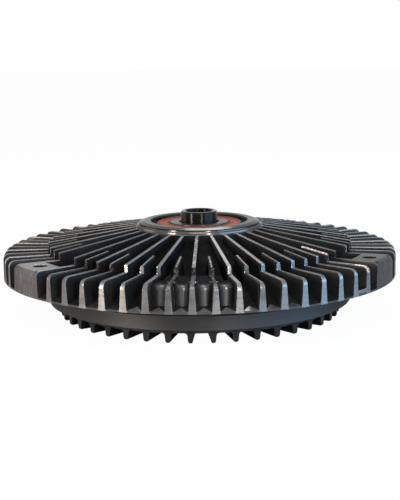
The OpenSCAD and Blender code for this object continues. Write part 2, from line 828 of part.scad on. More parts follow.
module valve_shaft() {
    groove_r = valve_shaft_r - valve_ring_t;
    groove_half = valve_ring_t / 2 + groove_room / 2;
    tip_l = 0.4;
    tip = coil_bottom - tip_l;
    color("#77787a")
    rotate(arm_turn)
    difference() {
        union() {
            cylinder_from(tip, arm_z, valve_shaft_r);
            cylinder_from(arm_z - over, arm_z + arm_t, arm_seat_r);
        }
        ring(groove_r, valve_shaft_r + over, valve_ring_z - groove_half, valve_ring_z + groove_half);
        translate([-valve_shaft_d, -coil_slot / 2, tip - over])
            cube([2 * valve_shaft_d, coil_slot, coil_h + tip_l + over]);
    }
}

module valve_shaft_seal() {
    section_r = valve_ring_t / 2 - seat_clearance;
    color("#161616")
    round_ring(valve_shaft_r + valve_clearance / 2 - valve_ring_t / 2, section_r, valve_ring_z);
}

// The bimetal coil: a flat strip wound in a spiral, its ends bent into the shaft and the post
module bimetal_coil() {
    step = 15;
    half_t = coil_t / 2;
    turn = 360 * coil_turns;
    spiral = function (shift) [
        for (a = [0 : step : turn])
            let (r = coil_inner_r + coil_pitch * a / 360 + shift)
            [r * cos(a), r * sin(a)]
    ];
    inside = spiral(-half_t);
    last = len(inside) - 1;
    color("#a88d5c")
    translate([0, 0, coil_bottom]) {
        linear_extrude(coil_h)
            polygon(concat(spiral(half_t), [for (i = [0 : last]) inside[last - i]]));
        translate([0, -half_t, 0]) cube([coil_inner_r, coil_t, coil_h]);
        translate([coil_outer_r, -half_t, 0]) cube([coil_tail_r - coil_outer_r, coil_t, coil_h]);
    }
}

housing();
front_cover();
cover_seal();
pump_plate();
plate_rivets();
pump_wipers();
input_shaft();
rotor_disc();
bearing_outer_ring();
bearing_inner_ring();
bearing_balls();
cage_rear_half();
cage_front_half();
cage_rivets();
rear_bearing_seal();
front_bearing_seal();
valve_arm();
valve_shaft();
valve_shaft_seal();
bimetal_coil();
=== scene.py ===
"""Viscous fan clutch: a finned housing on a sealed bearing, standing on its front cover's fins."""
import math
import types

import bpy
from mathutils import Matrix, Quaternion, Vector


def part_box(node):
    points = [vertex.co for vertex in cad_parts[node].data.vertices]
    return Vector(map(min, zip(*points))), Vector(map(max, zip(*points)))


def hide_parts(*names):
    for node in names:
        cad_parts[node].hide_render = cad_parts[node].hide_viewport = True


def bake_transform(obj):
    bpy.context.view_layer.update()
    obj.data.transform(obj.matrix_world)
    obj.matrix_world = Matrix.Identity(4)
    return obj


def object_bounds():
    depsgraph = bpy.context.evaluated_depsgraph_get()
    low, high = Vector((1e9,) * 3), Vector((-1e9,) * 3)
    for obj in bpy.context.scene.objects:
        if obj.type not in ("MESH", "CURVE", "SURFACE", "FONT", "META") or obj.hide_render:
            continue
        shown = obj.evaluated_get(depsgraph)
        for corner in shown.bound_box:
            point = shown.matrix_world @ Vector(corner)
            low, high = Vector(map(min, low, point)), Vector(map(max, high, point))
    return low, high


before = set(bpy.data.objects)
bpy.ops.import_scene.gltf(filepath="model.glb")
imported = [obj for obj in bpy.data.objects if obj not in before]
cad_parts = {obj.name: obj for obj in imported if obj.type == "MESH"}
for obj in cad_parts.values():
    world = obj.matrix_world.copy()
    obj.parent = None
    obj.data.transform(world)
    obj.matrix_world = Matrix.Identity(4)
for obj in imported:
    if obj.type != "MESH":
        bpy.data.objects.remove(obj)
cad_box = [list(corner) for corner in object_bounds()]

# Input shaft
# A turned steel shaft whose bored stub takes the drive. The bearing's inner ring is pressed on it.
# Its near-black colour is a painted dark reflection, with a polish where it was ground.
MM = 0.001
# Painted dark reflection: the near-black colour stands in for the dim surroundings the stub
# reflects.
SHAFT_STEEL = (0.02, 0.0195, 0.0195, 1)
SHAFT_LINE_PITCH = 0.12 * MM
SHAFT_ROUGHNESS = 0.22
SHAFT_STAINS = 0.1
SHAFT_STRETCH = 0.95
LINE_PITCH = 0.2 * MM
LINE_HEIGHT = 0.004 * MM
LINE_TONES = (0.6, 1.4)
FINE_LINES = 0.6
BROAD_LINES = 0.07
STAIN_SIZE = 6 * MM
STAIN_LEVEL = 0.75
STAIN_SPREAD = 0.4
STAIN_EDGE = 0.2
DULL_SHARE = 0.62
DULL_AMOUNT = 0.5
LINE_ROUGHER = 0.08
STAIN_ROUGHER = 0.14
QUARTER_TURN = 0.25


def put(tree, socket, value):
    """Sets an input socket to a plain value, or links it to another node's output."""
    if isinstance(value, bpy.types.NodeSocket):
        tree.links.new(value, socket)
    else:
        socket.default_value = value


def add_node(tree, kind, **inputs):
    """Adds a shader node, with its input sockets set to values or linked to other sockets."""
    node = tree.nodes.new(kind)
    for name, value in inputs.items():
        put(tree, node.inputs[name], value)
    return node


def add_noise(tree, place, scale, detail):
    """Adds a noise texture and returns its level."""
    noise = add_node(tree, "ShaderNodeTexNoise", Vector=place, Scale=scale, Detail=detail)
    return noise.outputs["Fac"]


def calc(tree, operation, first, second=0.0):
    """One step of arithmetic on sockets or numbers."""
    node = tree.nodes.new("ShaderNodeMath")
    node.operation = operation
    put(tree, node.inputs[0], first)
    put(tree, node.inputs[1], second)
    return node.outputs[0]


def fade(tree, value, low, high):
    """Rises smoothly from 0 where value is low to 1 where it is high."""
    node = tree.nodes.new("ShaderNodeMapRange")
    node.interpolation_type = "SMOOTHSTEP"
    put(tree, node.inputs["Value"], value)
    put(tree, node.inputs["From Min"], low)
    put(tree, node.inputs["From Max"], high)
    return node.outputs["Result"]


def blend_colour(tree, amount, first, second):
    """Mixes two colours by a mask, on the node's own sockets for colours."""
    node = tree.nodes.new("ShaderNodeMix")
    node.data_type = "RGBA"
    put(tree, node.inputs[0], amount)
    put(tree, node.inputs[6], first)
    put(tree, node.inputs[7], second)
    return node.outputs[2]


def blend_value(tree, amount, first, second):
    """Mixes two numbers by a mask."""
    node = tree.nodes.new("ShaderNodeMix")
    put(tree, node.inputs[0], amount)
    put(tree, node.inputs[2], first)
    put(tree, node.inputs[3], second)
    return node.outputs[0]


def distance(tree, x, y):
    """How far a point is from the origin of a plane."""
    square = calc(tree, "ADD", calc(tree, "MULTIPLY", x, x), calc(tree, "MULTIPLY", y, y))
    return calc(tree, "SQRT", square)


def place_on_part(tree):
    """A surface point in the part's own frame, its distance from the axis, height and angle."""
    point = tree.nodes.new("ShaderNodeTexCoord").outputs["Object"]
    x, y, z = add_node(tree, "ShaderNodeSeparateXYZ", Vector=point).outputs
    return point, distance(tree, x, y), z, calc(tree, "ARCTAN2", y, x)


def effect_group(name, inputs, outputs):
    """An empty shader node group with named number sockets."""
    tree = bpy.data.node_groups.new(name, "ShaderNodeTree")
    for socket_name, value in inputs.items():
        socket = tree.interface.new_socket(
            socket_name, in_out="INPUT", socket_type="NodeSocketFloat",
        )
        socket.default_value = value
    for socket_name in outputs:
        tree.interface.new_socket(socket_name, in_out="OUTPUT", socket_type="NodeSocketFloat")
    return tree, tree.nodes.new("NodeGroupInput"), tree.nodes.new("NodeGroupOutput")


def make_lathe_lines():
    """Fine rings left by a turning tool: a height for bump, and a tone that varies by the ring."""
    tree, given, result = effect_group("lathe_lines", {"Pitch": LINE_PITCH}, ["Height", "Tone"])
    _, radius, z, _ = place_on_part(tree)
    rings = add_node(
        tree, "ShaderNodeCombineXYZ",
        X=calc(tree, "DIVIDE", radius, given.outputs["Pitch"]), Y=0.0,
        Z=calc(tree, "DIVIDE", z, given.outputs["Pitch"]),
    ).outputs[0]
    fine = add_noise(tree, rings, FINE_LINES, detail=2.0)
    broad = add_noise(tree, rings, BROAD_LINES, detail=1.0)
    put(tree, result.inputs["Height"], fine)
    put(tree, result.inputs["Tone"], fade(tree, calc(tree, "ADD", fine, broad), *LINE_TONES))
    return tree


def make_stains():
    """Soft uneven patches of handling marks and dulled metal."""
    tree, given, result = effect_group("stains", {"Size": STAIN_SIZE, "Amount": 0.5}, ["Mask"])
    point = place_on_part(tree)[0]
    spots = add_node(
        tree, "ShaderNodeTexNoise", Vector=point, Detail=5.0, Roughness=0.6,
        Scale=calc(tree, "DIVIDE", 1.0, given.outputs["Size"]),
    ).outputs["Fac"]
    spread = calc(tree, "MULTIPLY", given.outputs["Amount"], STAIN_SPREAD)
    low = calc(tree, "SUBTRACT", STAIN_LEVEL, spread)
    put(tree, result.inputs["Mask"], fade(tree, spots, low, calc(tree, "ADD", low, STAIN_EDGE)))
    return tree


lathe_lines = make_lathe_lines()
stains = make_stains()


def use_group(tree, group, **inputs):
    """Places an effect in a material and returns its outputs."""
    node = tree.nodes.new("ShaderNodeGroup")
    node.node_tree = group
    for name, value in inputs.items():
        put(tree, node.inputs[name], value)
    return node.outputs


def bumped(tree, height, full_height, strength=1.0):
    """Turns a height into a surface normal."""
    bump = add_node(tree, "ShaderNodeBump", Height=height, Distance=full_height, Strength=strength)
    return bump.outputs["Normal"]


def new_finish(name):
    """A new material, its node tree and its surface shader."""
    material = bpy.data.materials.new(name)
    material.use_nodes = True
    return material, material.node_tree, material.node_tree.nodes["Principled BSDF"]


def dress(material, *node_names):
    """Gives solids a finish."""
    for name in node_names:
        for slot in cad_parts[name].material_slots:
            slot.material = material


def stretch_glints(tree, shader, amount):
    """Draws highlights out across the rings that a lathe leaves round the axis."""
    around = tree.nodes.new("ShaderNodeTangent")
    around.direction_type = "RADIAL"
    around.axis = "Z"
    tree.links.new(around.outputs[0], shader.inputs["Tangent"])
    shader.inputs["Anisotropic"].default_value = amount
    shader.inputs["Anisotropic Rotation"].default_value = QUARTER_TURN


def turned_metal(
    name, colour, line_pitch, roughness, edge_tint=1.0, stain_amount=0.4, stretch=0.8,
):
    """Bare metal off the lathe: fine rings, uneven polish and dull handling marks."""
    material, tree, shader = new_finish(name)
    lines = use_group(tree, lathe_lines, Pitch=line_pitch)
    marks = use_group(tree, stains, Size=STAIN_SIZE, Amount=stain_amount)["Mask"]
    dull = tuple(DULL_SHARE * part for part in colour[:3]) + (1,)
    ringed = blend_colour(tree, calc(tree, "MULTIPLY", lines["Tone"], DULL_AMOUNT), colour, dull)
    marked = blend_colour(tree, calc(tree, "MULTIPLY", marks, DULL_AMOUNT), ringed, dull)
    put(tree, shader.inputs["Base Color"], marked)
    polish = blend_value(tree, lines["Tone"], roughness, roughness + LINE_ROUGHER)
    polish = blend_value(tree, marks, polish, roughness + STAIN_ROUGHER)
    put(tree, shader.inputs["Roughness"], polish)
    put(tree, shader.inputs["Normal"], bumped(tree, lines["Height"], LINE_HEIGHT))
    shader.inputs["Metallic"].default_value = 1.0
    shader.inputs["Specular Tint"].default_value = (edge_tint, edge_tint, edge_tint, 1)
    stretch_glints(tree, shader, stretch)
    return material


shaft_finish = turned_metal(
    "dark_reflection_shaft_steel", SHAFT_STEEL, SHAFT_LINE_PITCH, SHAFT_ROUGHNESS,
    stain_amount=SHAFT_STAINS, stretch=SHAFT_STRETCH,
)
dress(shaft_finish, "input_shaft")

# Sealed ball bearing
# Ground steel rings with polished balls in a riveted ribbon cage. A brick-red rubber seal is
# snapped into the outer ring on each side, and the shade in the gaps along its two edges is painted
# dark.
RING_STEEL = (0.13, 0.126, 0.122, 1)
# Painted shade: the outer ring's steel is coloured dark, as it lies in shadow.
SHADED_RING_STEEL = (0.05, 0.049, 0.048, 1)
BALL_STEEL = (0.62, 0.62, 0.63, 1)
CAGE_STEEL = (0.36, 0.30, 0.20, 1)
SEAL_RED = (0.27, 0.054, 0.021, 1)
SEAL_DUSTY = (0.16, 0.041, 0.018, 1)
# Painted shade: near black on the seal's edges, where the gaps beside it lie in shadow.
RUBBER_SHADE = (0.02, 0.008, 0.006, 1)
RING_LINE_PITCH = 0.08 * MM
BALL_LINE_PITCH = 0.5 * MM
CAGE_LINE_PITCH = 0.6 * MM
RIVET_LINE_PITCH = 0.3 * MM
SEAL_DUST_SIZE = 3 * MM
SEAL_UNSHADED_FROM = 15.7 * MM
SEAL_UNSHADED_TO = 20.6 * MM
SHADE_EDGE = 0.4 * MM
RUBBER_GRAIN = 0.25 * MM
RUBBER_GRAIN_HEIGHT = 0.03 * MM
RUBBER_ROUGHNESS = (0.45, 0.62)
RUBBER_GLOSS = 0.05

ground_steel = turned_metal(
    "ground_ring_steel", RING_STEEL, RING_LINE_PITCH, roughness=0.24, edge_tint=0.65,
)
# Painted shade on the outer ring.
shaded_steel = turned_metal(
    "shaded_ring_steel", SHADED_RING_STEEL, RING_LINE_PITCH, roughness=0.3, edge_tint=0.2,
)
ball_steel = turned_metal(
    "polished_ball_steel", BALL_STEEL, BALL_LINE_PITCH, roughness=0.06, stain_amount=0.1,
)
cage_steel = turned_metal("pressed_cage_steel", CAGE_STEEL, CAGE_LINE_PITCH, roughness=0.3)
rivet_steel = turned_metal("bright_rivet_steel", BALL_STEEL, RIVET_LINE_PITCH, roughness=0.25)
dress(ground_steel, "bearing_inner_ring")
dress(shaded_steel, "bearing_outer_ring")
dress(ball_steel, "bearing_balls")
dress(cage_steel, "cage_rear_half", "cage_front_half")
dress(rivet_steel, "cage_rivets", "plate_rivets")


def moulded_rubber(name, colour, dusty, dust_size, unshaded_from=0.0, unshaded_to=1.0):
    """Moulded rubber: a satin skin with grain and dust, and painted shade outside its unshaded
    band.
    """
    material, tree, shader = new_finish(name)
    dust = use_group(tree, stains, Size=dust_size, Amount=0.6)["Mask"]
    point, radius, _, _ = place_on_part(tree)
    grain = add_noise(tree, point, 1 / RUBBER_GRAIN, detail=2.0)
    # Painted shade: darker towards the rubber's edges, outside the unshaded band.
    unshaded_inside = fade(tree, radius, unshaded_from - SHADE_EDGE, unshaded_from + SHADE_EDGE)
    unshaded_outside = fade(tree, radius, unshaded_to + SHADE_EDGE, unshaded_to - SHADE_EDGE)
    unshaded = calc(tree, "MULTIPLY", unshaded_inside, unshaded_outside)
    rubber = blend_colour(tree, dust, colour, dusty)
    put(tree, shader.inputs["Base Color"], blend_colour(tree, unshaded, RUBBER_SHADE, rubber))
    put(tree, shader.inputs["Roughness"], blend_value(tree, dust, *RUBBER_ROUGHNESS))
    put(tree, shader.inputs["Normal"], bumped(tree, grain, RUBBER_GRAIN_HEIGHT, strength=0.5))
    shader.inputs["Specular IOR Level"].default_value = RUBBER_GLOSS
    return material


seal_finish = moulded_rubber(
    "brick_red_rubber", SEAL_RED, SEAL_DUSTY, SEAL_DUST_SIZE,
    unshaded_from=SEAL_UNSHADED_FROM, unshaded_to=SEAL_UNSHADED_TO,
)
dress(seal_finish, "rear_bearing_seal", "front_bearing_seal")

# Housing
# One aluminium casting with radial fins, painted black and then turned: the fin tops, fan step,
# bolt pads, outside, hub ring and skirt are bare metal, and the valleys keep their paint.
BARE_ALUMINIUM = (0.19, 0.189, 0.19, 1)
DULL_ALUMINIUM = (0.09, 0.089, 0.09, 1)
# Painted light on the floor patches between the front fins.
LIT_PATCH_ALUMINIUM = (0.21, 0.21, 0.214, 1)
HUB_ALUMINIUM = (0.1, 0.099, 0.098, 1)
SKIRT_ALUMINIUM = (0.063, 0.0625, 0.063, 1)
# Painted highlight on the rim tops behind and on one bolt pad.
HIGHLIT_ALUMINIUM = (0.36, 0.357, 0.354, 1)
# Painted glints: bright specks on the rough-turned fin's top.
GLINT_ALUMINIUM = (0.75, 0.63, 0.59, 1)
# Black paint, also used as painted shade in the hub's groove and on the skirt's top band.
BLACK_PAINT_AND_SHADE = (0.01, 0.0103, 0.011, 1)
GREY_DUST = (0.025, 0.0253, 0.026, 1)
RUBBED_PAINT = (0.045, 0.044, 0.043, 1)

FIN_PLACES = 60
FIN_PITCH = 2 * math.pi / FIN_PLACES
FIN_FOOT_HALF = 1.9 * MM
LUGS = 3
SPIGOT_R = 75 * MM
SPIGOT_H = 3.4 * MM
FAN_SEAT_Z = 0.0
SHORT_FIN_R = 50 * MM
FIN_SLOPE = math.radians(9)
CORNER_R = 3 * MM
HOUSING_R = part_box("housing")[1][0]
HUB_RING_R = 31.2 * MM
HUB_RECESS_R = 24.2 * MM
HUB_EDGE_Z = 10.3 * MM
HUB_GROOVE_R = 29.6 * MM
HUB_RIM_Z = 11.8 * MM
RIM_FLOOR_Z = -12 * MM
RIM_FLOOR_SLOPE = 5.5 / 22
# Painted shadow: above this height the skirt stays black, standing in for the shade under the rim.
SKIRT_SHADOW_EDGE_Z = -19.1 * MM
EDGE_BREAK = 0.12 * MM
JOIN_DISTANCE = 0.002 * MM
FLAT_ANGLE = math.radians(0.5)
SHARP_ANGLE = math.radians(35)

# How deep the cut shows on each kind of fin, and how soft and ragged its borders are.
FULL_CUT = 0.3 * MM
SHORT_CUT = 0.1 * MM
ROUGH_CUT = 0.7 * MM
CUT_CORE = 0.4
RAGGED_SIZE = 0.8 * MM
RAGGED_SHARE = 1.2
RAGGED_MIDDLE = 0.5
SKIM_DEPTH = 0.5 * MM
SKIM_FULL = 0.1 * MM
SOFT_BORDER = 0.2 * MM
STEP_CLEAR = 0.4 * MM
FLOOR_CLEAR = 0.6 * MM
HUB_CLEAR = 0.3 * MM
PAD_DEPTH = 0.5 * MM

# Fins that differ, by their place: places count round the axis from the back, six degrees each.
SAME_PLACE = 0.5
LUG_PLACES = 1.5
CAST_STEPS = ((-38, 2.5), (-31, 1.5), (-21.5, 1.0))
STEP_SPECKS = (0.52, 0.62)
DIRTY_MIDDLE = -31
DIRTY_PLACES = 1.5
DIRTY_DEPTH = 1.5 * MM
DIRTY_TOPS = (0.4, 0.5)
DIRTY_ENDS = (0.48, 0.6)
# The bolt pad that is painted brighter as highlight.
HIGHLIT_LUG = -40
ROUGH_FIN = -22
ROUGH_END_R = 90 * MM
ROUGH_SPECKS = (0.42, 0.55)
BEHIND_SINES = (-0.45, -0.25)

# Painted light: bright pointed patches of metal on the rim's floor, one in each gap between the
# front fins.
FRONT_MIDDLE = -30
FRONT_PLACES = 3.5
FRONT_FADE = 0.5
LIT_PATCH_REACH = 4.6 * MM
LIT_PATCH_HALF_GAP = 0.36
LIT_PATCH_EDGE = (-0.1 * MM, 0.2 * MM)
LIT_PATCH_INSET = 0.35 * MM
LIT_PATCH_DEPTH = 0.5 * MM
GAP_MIDDLE = 0.5

SAND_GRAIN = 0.7 * MM
SAND_BROADER = 0.05
DUST_LEVELS = (0.85, 1.25)
DUST_SHARE = 0.7
HOUSING_LINE_PITCH = 0.25 * MM
HOUSING_LINE_SHARE = 0.35
HOUSING_STAIN_SIZE = 7 * MM
HOUSING_STAINS = 0.7
UNEVEN_SHARE = 0.9
STROKE_WIDTH = 0.7 * MM
STROKE_LENGTH = 9 * MM
STROKE_LEVELS = (0.32, 0.52)
FACE_METALS = (
    # Painted highlight: the rubbed tops are coloured brighter; painted light: the floor patches.
    ("rubbed", HIGHLIT_ALUMINIUM, 1.0), ("floor", LIT_PATCH_ALUMINIUM, 1.0),
    ("skirt", SKIRT_ALUMINIUM, 0.9), ("hub", HUB_ALUMINIUM, 1.0),
    # Painted shade: the hub's groove is coloured black.
    ("groove", BLACK_PAINT_AND_SHADE, 1.0), ("glint_specks", GLINT_ALUMINIUM, 1.0),
)
UPRIGHT_RANGE = (0.9, 0.5)
SIDE_ROUGHNESS = (0.52, 0.6)
TOP_ROUGHNESS = 0.3
FACE_ROUGHNESS = {"corner": 0.36, "step": 0.26, "hub": 0.22, "skirt": 0.72}
PAINT_ROUGHNESS = 0.6
REAR_GLOSS = 0.25
PAINT_GLOSS = 0.9
GLOSS_ROUGHNESS = 0.3
GLOSS_IOR = 1.8
EDGE_TINT = (0.6, 0.6, 0.6, 1)
HOUSING_STRETCH = 0.8
LINE_RELIEF = 0.3
SAND_RELIEF = 4.0
RELIEF_HEIGHT = 0.02 * MM


def make_cast_skin():
    """The skin of a sand casting under paint: a grain for bump and a mask of dusty hollows."""
    tree, given, result = effect_group("cast_skin", {"Grain": SAND_GRAIN}, ["Height", "Dust"])
    point = place_on_part(tree)[0]
    scale = calc(tree, "DIVIDE", 1.0, given.outputs["Grain"])
    grain = add_noise(tree, point, scale, detail=3.0)
    broad = add_noise(tree, point, calc(tree, "MULTIPLY", scale, SAND_BROADER), detail=4.0)
    put(tree, result.inputs["Height"], grain)
    put(tree, result.inputs["Dust"], fade(tree, calc(tree, "ADD", grain, broad), *DUST_LEVELS))
    return tree


cast_skin = make_cast_skin()


def all_of(tree, *masks):
    """1 only where every mask is 1."""
    result = masks[0]
    for mask in masks[1:]:
        result = calc(tree, "MULTIPLY", result, mask)
    return result


def none_of(tree, mask):
    """1 where the mask is 0."""
    return calc(tree, "SUBTRACT", 1.0, mask)


def away(tree, value, middle):
    """How far a value is from a middle, to either side."""
    return calc(tree, "ABSOLUTE", calc(tree, "SUBTRACT", value, middle))


def within(tree, value, middle, reach):
    """1 where a value is less than a reach from a middle."""
    return calc(tree, "LESS_THAN", away(tree, value, middle), reach)


def over(tree, value, limit):
    """1 above a limit, with a soft border."""
    return fade(tree, value, limit - SOFT_BORDER, limit + SOFT_BORDER)


def under(tree, value, limit):
    """1 below a limit, with a soft border."""
    return fade(tree, value, limit + SOFT_BORDER, limit - SOFT_BORDER)


def find_spot(tree):
    """Where a point is on the housing: its place among the fins, and its depth in the profile."""
    point, radius, z, angle = place_on_part(tree)
    place = calc(tree, "DIVIDE", calc(tree, "SUBTRACT", angle, math.pi / 2), FIN_PITCH)
    fin = calc(tree, "ROUND", place)
    lug = calc(tree, "LESS_THAN", calc(tree, "PINGPONG", fin, FIN_PLACES / LUGS / 2), LUG_PLACES)
    rough = within(tree, fin, ROUGH_FIN, SAME_PLACE)
    rise = calc(tree, "MULTIPLY", calc(tree, "SUBTRACT", SPIGOT_R, radius), math.tan(FIN_SLOPE))
    past_r = calc(tree, "MAXIMUM", calc(tree, "SUBTRACT", radius, HOUSING_R - CORNER_R), 0.0)
    past_z = calc(tree, "MAXIMUM", calc(tree, "ADD", z, CORNER_R), 0.0)
    ragged = add_noise(tree, point, 1 / RAGGED_SIZE, detail=3.0)
    full = calc(tree, "ABSOLUTE", calc(tree, "MODULO", fin, 2.0))
    full = calc(tree, "MAXIMUM", calc(tree, "MAXIMUM", full, lug), rough)
    depth = blend_value(tree, full, SHORT_CUT, FULL_CUT)
    depth = blend_value(tree, rough, depth, ROUGH_CUT)
    waver = calc(tree, "MULTIPLY", depth, RAGGED_SHARE)
    border = calc(tree, "MULTIPLY", calc(tree, "SUBTRACT", ragged, RAGGED_MIDDLE), waver)

    def near(below):
        """1 where the tool cut through the paint, this far below the turned face."""
        core = calc(tree, "MULTIPLY", depth, CUT_CORE)
        return fade(tree, calc(tree, "ADD", below, border), depth, core)

    return types.SimpleNamespace(
        radius=radius, z=z, place=place, fin=fin, lug=lug, rough=rough, ragged=ragged, near=near,
        below_cone=calc(tree, "SUBTRACT", calc(tree, "ADD", rise, SPIGOT_H), z),
        inside_rim=calc(tree, "SUBTRACT", CORNER_R, distance(tree, past_r, past_z)),
        off_step=away(tree, radius, SPIGOT_R),
        outside_step=over(tree, radius, SPIGOT_R + STEP_CLEAR),
        above_floor=over(tree, z, RIM_FLOOR_Z + FLOOR_CLEAR),
        dirty=within(tree, fin, DIRTY_MIDDLE, DIRTY_PLACES),
        behind=fade(tree, calc(tree, "SINE", angle), *BEHIND_SINES),
        in_front=fade(tree, away(tree, place, FRONT_MIDDLE), FRONT_PLACES + FRONT_FADE, FRONT_PLACES),
    )


def find_tops(tree, spot):
    """The fins' sloping tops from the hub to the fan step, patchy on the dirty fins."""
    patchy = blend_value(tree, spot.dirty, 1.0, fade(tree, spot.ragged, *DIRTY_TOPS))
    return all_of(tree, spot.near(spot.below_cone), over(tree, spot.radius, HUB_RECESS_R), patchy)


def find_rim(tree, spot):
    """The fins' tops and ends outside the fan step, with the bolt pads."""
    off_fin = calc(tree, "MULTIPLY", away(tree, spot.place, spot.fin), FIN_PITCH)
    on_foot = under(tree, calc(tree, "MULTIPLY", off_fin, spot.radius), FIN_FOOT_HALF)
    on_fin = calc(tree, "MAXIMUM", spot.above_floor, calc(tree, "MAXIMUM", on_foot, spot.lug))
    dirty_top = all_of(tree, spot.dirty, over(tree, spot.z, -CORNER_R - DIRTY_DEPTH))
    patchy = blend_value(tree, dirty_top, 1.0, fade(tree, spot.ragged, *DIRTY_ENDS))
    return all_of(tree, spot.near(spot.inside_rim), spot.outside_step, on_fin, patchy)


def find_step(tree, spot):
    """The wall of the fan step, left as cast on a few fins but for specks."""
    step = all_of(tree, spot.near(spot.off_step), over(tree, spot.z, FAN_SEAT_Z))
    specks = fade(tree, spot.ragged, *STEP_SPECKS)
    for middle, places in CAST_STEPS:
        as_cast = within(tree, spot.fin, middle, places)
        step = all_of(tree, step, blend_value(tree, as_cast, 1.0, specks))
    return step


def find_hub(tree, spot):
    """The hub ring, and its groove, coloured black as painted shade."""
    ring = all_of(
        tree, over(tree, spot.z, HUB_EDGE_Z), under(tree, spot.radius, HUB_RING_R + HUB_CLEAR),
        over(tree, spot.radius, HUB_RECESS_R),
    )
    in_groove = over(tree, spot.radius, HUB_GROOVE_R)
    return ring, all_of(tree, ring, in_groove, over(tree, spot.z, HUB_RIM_Z))


def find_lit_floor_patches(tree, spot):
    """Pointed patches of painted light on the rim's floor, coloured as bright metal."""
    inset = calc(tree, "SUBTRACT", HOUSING_R, spot.radius)
    floor_z = calc(tree, "ADD", calc(tree, "MULTIPLY", inset, RIM_FLOOR_SLOPE), RIM_FLOOR_Z)
    on_floor = under(tree, calc(tree, "SUBTRACT", spot.z, floor_z), LIT_PATCH_DEPTH)
    off_middle = away(tree, calc(tree, "FRACT", spot.place), GAP_MIDDLE)
    peak = calc(tree, "SUBTRACT", 1.0, calc(tree, "DIVIDE", off_middle, LIT_PATCH_HALF_GAP))
    tooth = calc(tree, "SUBTRACT", calc(tree, "MULTIPLY", peak, LIT_PATCH_REACH), inset)
    on_floor = all_of(tree, on_floor, spot.in_front, over(tree, inset, LIT_PATCH_INSET))
    return all_of(tree, fade(tree, tooth, *LIT_PATCH_EDGE), on_floor)


def find_glint_specks(tree, spot):
    """The rough fin's top, its specks painted bright as glints on both sides of the fan step."""
    ends = over(tree, spot.radius, ROUGH_END_R)
    either_side = calc(tree, "MAXIMUM", under(tree, spot.radius, SPIGOT_R), ends)
    specks = all_of(tree, spot.rough, fade(tree, spot.ragged, *ROUGH_SPECKS), either_side)
    return all_of(
        tree, specks, over(tree, spot.radius, SHORT_FIN_R), over(tree, spot.z, -CORNER_R),
    )


def find_highlit_tops(tree, spot, rim):
    """Rim tops painted brighter as highlight: those behind, and one bolt pad."""
    high = over(tree, spot.z, -CORNER_R)
    highlit_rear_tops = all_of(tree, rim, spot.behind, high, none_of(tree, spot.lug))
    on_lug = within(tree, spot.fin, HIGHLIT_LUG, LUG_PLACES)
    pad = all_of(tree, rim, over(tree, spot.z, -PAD_DEPTH), on_lug)
    return calc(tree, "MAXIMUM", highlit_rear_tops, pad)


def find_turned_faces(tree):
    """Masks of the faces that the lathe cut through the paint, of how each one has worn, and of the
    painted light and shade on them.
    """
    spot = find_spot(tree)
    rim = find_rim(tree, spot)
    hub, groove = find_hub(tree, spot)
    front_corner = all_of(tree, over(tree, spot.z, -CORNER_R), none_of(tree, spot.behind))
    gloss = blend_value(tree, spot.in_front, REAR_GLOSS, 1.0)
    depth = blend_value(tree, spot.outside_step, spot.below_cone, spot.inside_rim)
    return {
        "fin": spot.fin,
        "lug": spot.lug,
        "tops": find_tops(tree, spot),
        "rim": rim,
        "step": find_step(tree, spot),
        # Only the skirt below the rim's shade is bare; the band above stays black as painted
        # shadow.
        "skirt": all_of(tree, spot.near(spot.off_step), under(tree, spot.z, SKIRT_SHADOW_EDGE_Z)),
        "hub": hub,
        "groove": groove,
        # Painted light: bright patches on the floor in the front gaps.
        "floor": find_lit_floor_patches(tree, spot),
        # Painted glints: bright specks on the rough fin's top.
        "glint_specks": find_glint_specks(tree, spot),
        # Painted highlight: rim tops behind and one bolt pad, coloured brighter.
        "rubbed": find_highlit_tops(tree, spot, rim),
        "corner": all_of(tree, spot.outside_step, front_corner, none_of(tree, spot.lug)),
        "skimmed": fade(tree, depth, SKIM_DEPTH, SKIM_FULL),
        "glossy": all_of(tree, spot.outside_step, spot.above_floor, gloss),
    }


def brush_strokes(tree):
    """Upright strokes round the outside, as a brush leaves them."""
    _, _, z, angle = place_on_part(tree)
    across = calc(tree, "MULTIPLY", angle, HOUSING_R / STROKE_WIDTH)
    along = calc(tree, "DIVIDE", z, STROKE_LENGTH)
    strokes = add_node(tree, "ShaderNodeCombineXYZ", X=across, Y=0.0, Z=along).outputs[0]
    return fade(tree, add_noise(tree, strokes, 1.0, detail=3.0), *STROKE_LEVELS)


